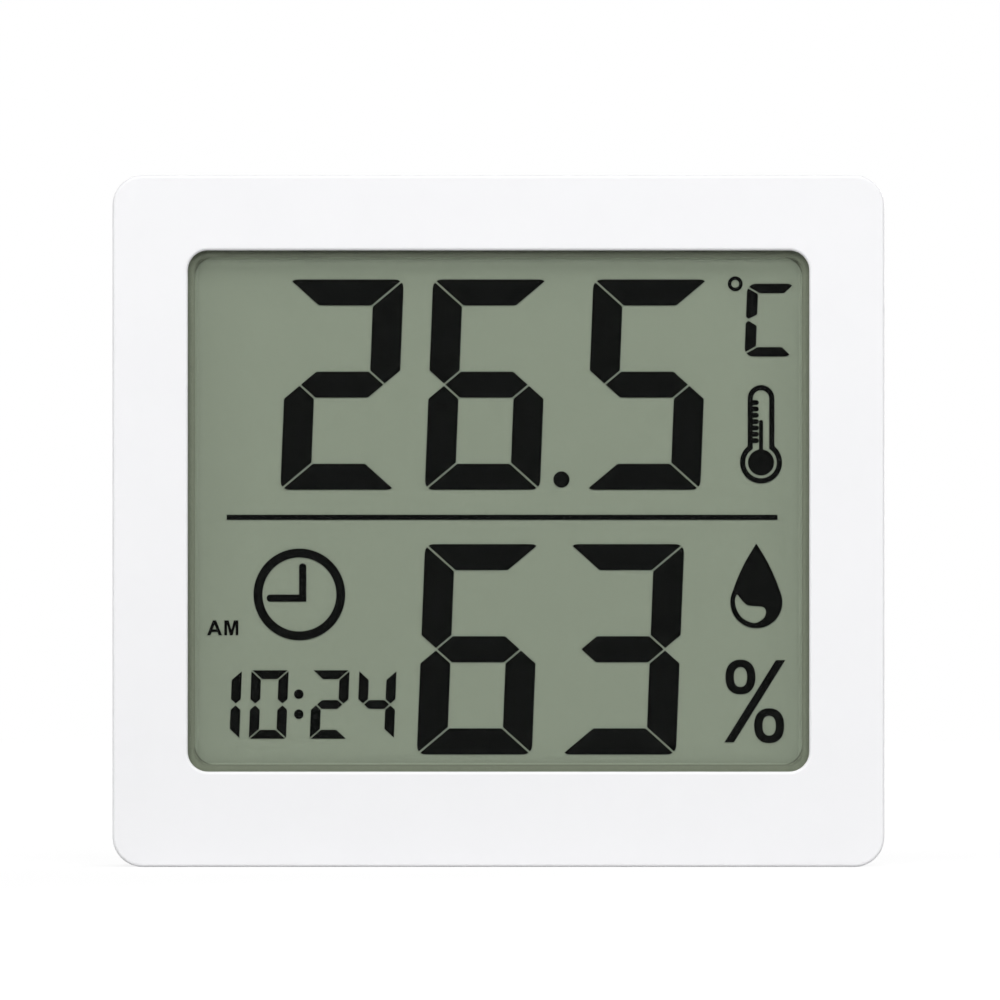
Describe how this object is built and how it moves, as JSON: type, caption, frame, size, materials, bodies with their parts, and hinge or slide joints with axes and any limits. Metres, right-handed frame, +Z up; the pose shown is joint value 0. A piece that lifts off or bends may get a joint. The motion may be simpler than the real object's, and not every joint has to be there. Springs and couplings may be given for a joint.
{
  "type": "temperature humidity sensor",
  "caption": "Nearly square white tabletop thermometer and hygrometer with a large segment display, rear setting keys, twist-off coin cell door, hanging slot and fold-out stand.",
  "frame": {"origin": "under the middle of the case, on the plane its bottom edge stands on", "axes": "+X to the right seen from the front, the display looks towards -Y, +Z up"},
  "size_m": [0.077, 0.014, 0.069],
  "materials": {
    "case_white": "fine moulded texture, satin",
    "key_grey": "smooth satin",
    "clear_lens": "clear polished acrylic",
    "gasket_olive": "matt film",
    "display_film": "matt polarizing film",
    "display_glass": "clear float glass",
    "seal_grey": "cured epoxy",
    "segment_black": "dark liquid crystal",
    "reflector_green": "grey-green reflecting film",
    "foam_grey": "open foam",
    "contact_rubber": "layered silicone",
    "board_green": "solder mask over glass fibre",
    "resin_black": "dropped epoxy",
    "plated_metal": "nickel plated",
    "sensor_white": "moulded grille",
    "bead_brown": "resin bead",
    "chip_black": "printed ceramic",
    "chip_tan": "bare ceramic",
    "switch_black": "moulded",
    "cell_steel": "pressed stainless steel",
    "plunger_ivory": "moulded",
    "screw_steel": "zinc plated"
  },
  "bodies": {
    "housing": {"front_bezel": "case_white", "display_window": "clear_lens", "dust_gasket": "gasket_olive", "front_polarizer": "display_film", "front_glass": "display_glass", "cell_seal": "seal_grey", "lcd_segments": "segment_black", "rear_glass": "display_glass", "reflector": "reflector_green", "foam_pad": "foam_grey", "contact_strip": "contact_rubber", "circuit_board": "board_green", "controller_blob": "resin_black", "clock_crystal": "plated_metal", "humidity_sensor": "sensor_white", "thermistor": "bead_brown", "chip_resistors": "chip_black", "chip_capacitors": "chip_tan", "battery_holder": "switch_black", "negative_contact": "plated_metal", "positive_contact": "plated_metal", "coin_cell": "cell_steel", "upper_switch": "switch_black", "middle_switch": "switch_black", "lower_switch": "switch_black", "board_screws": "screw_steel", "rear_cover": "case_white", "case_screws": "screw_steel"},
    "upper_key_body": {"upper_plunger": "plunger_ivory", "upper_key": "key_grey"},
    "middle_key_body": {"middle_plunger": "plunger_ivory", "middle_key": "key_grey"},
    "lower_key_body": {"lower_plunger": "plunger_ivory", "lower_key": "key_grey"},
    "door_body": {"battery_door": "case_white"},
    "stand_body": {"stand": "case_white"}
  },
  "joints": [
    {"name": "upper_key_press", "type": "slide", "parent": "housing", "child": "upper_key_body", "axis": [0, -1, 0], "range_m": [0, 0.0003], "stiffness_N_per_m": 1500, "springref_m": -0.0004},
    {"name": "middle_key_press", "type": "slide", "parent": "housing", "child": "middle_key_body", "axis": [0, -1, 0], "range_m": [0, 0.0003], "stiffness_N_per_m": 1500, "springref_m": -0.0004},
    {"name": "lower_key_press", "type": "slide", "parent": "housing", "child": "lower_key_body", "axis": [0, -1, 0], "range_m": [0, 0.0003], "stiffness_N_per_m": 1500, "springref_m": -0.0004},
    {"name": "door_twist", "type": "hinge", "parent": "housing", "child": "door_body", "pos_m": [0, 0.005, 0.04], "axis": [0, 1, 0], "range_deg": [0, 50]},
    {"name": "stand_fold", "type": "hinge", "parent": "housing", "child": "stand_body", "pos_m": [0, 0.0053, 0.0234], "axis": [1, 0, 0], "range_deg": [0, 45]}
  ]
}
